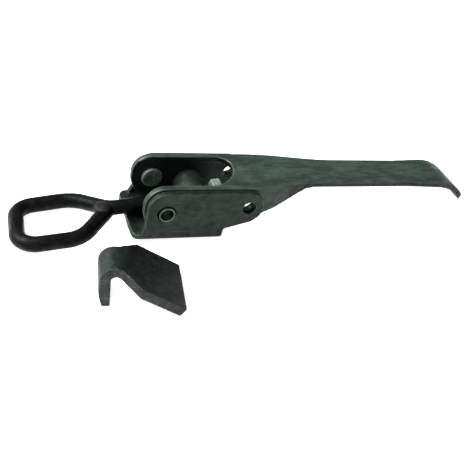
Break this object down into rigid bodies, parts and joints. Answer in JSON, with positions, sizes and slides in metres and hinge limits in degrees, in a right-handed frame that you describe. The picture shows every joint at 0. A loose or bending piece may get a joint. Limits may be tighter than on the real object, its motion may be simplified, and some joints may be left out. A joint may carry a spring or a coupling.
{
  "type": "over-centre lever latch",
  "caption": "Weld-on over-centre lever latch in raw black steel: channel base, pressed lever, hollow pivot rivets, barrel nut, adjustable eye bolt and separate keeper hook.",
  "frame": {"origin": "on the underside of the base (the weld face), directly below the lever's pivot axis, at mid width", "axes": "+X along the handle to its tip, +Y across the latch to the rear wall, +Z away from the weld face"},
  "size_m": [0.3297, 0.1155, 0.0475],
  "materials": {
    "base_steel": "raw black mill scale, oiled",
    "lever_steel": "raw black pressed sheet, oiled, rubbed along its edges",
    "rod_steel": "dark hot-bent bar with fire scale",
    "rivet_steel": "bright turned steel, oiled, slightly scuffed",
    "weld_steel": "weld bead, ground flush in places",
    "nut_steel": "bright plated steel",
    "hook_steel": "raw black plate, oiled, brighter on the bend"
  },
  "bodies": {
    "base": {"base_channel": "base_steel", "front_pivot_rivet": "rivet_steel", "rear_pivot_rivet": "rivet_steel", "keeper_hook": "hook_steel"},
    "lever": {"lever": "lever_steel"},
    "barrel": {"barrel_nut": "rivet_steel"},
    "eye": {"eye_rod": "rod_steel", "eye_weld": "weld_steel", "lock_nut": "nut_steel"}
  },
  "joints": [
    {"name": "lever_pivot", "type": "hinge", "parent": "base", "child": "lever", "pos_m": [0, 0, 0.0212], "axis": [0, -1, 0], "range_deg": [0, 120]},
    {"name": "barrel_swing", "type": "hinge", "parent": "lever", "child": "barrel", "pos_m": [0.026, 0, 0.0164], "axis": [0, -1, 0], "range_deg": [-120, 0]},
    {"name": "eye_screw", "type": "hinge", "parent": "barrel", "child": "eye", "pos_m": [0.026, 0, 0.0164], "axis": [-0.9877, 0, -0.1564], "continuous": true}
  ],
  "couplings": [
    {"joint": "barrel_swing", "follows": "lever_pivot", "ratio": -1}
  ]
}
